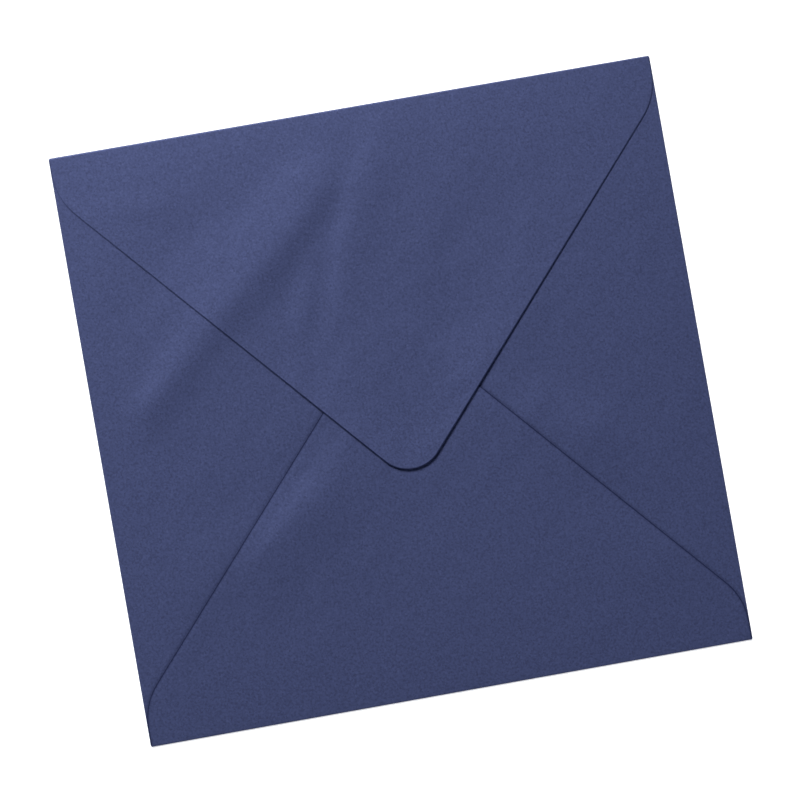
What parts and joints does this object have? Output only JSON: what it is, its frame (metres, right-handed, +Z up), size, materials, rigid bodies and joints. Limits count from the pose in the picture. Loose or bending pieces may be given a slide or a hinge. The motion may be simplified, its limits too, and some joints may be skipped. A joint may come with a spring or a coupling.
{
  "type": "paper envelope",
  "caption": "Square greeting-card envelope of pearlescent navy paper, folded and glued from a single sheet, closed, with a deep pointed closing flap.",
  "frame": {"origin": "the middle of the address side, which is the face that the envelope lies on", "axes": "+X along the fold of the closing flap, +Y across the envelope towards that fold, +Z up through the layers, from the address side to the flaps"},
  "size_m": [0.155, 0.151, 0.0017],
  "materials": {
    "paper": "satin"
  },
  "bodies": {
    "root": {"envelope": "paper"}
  },
  "joints": []
}
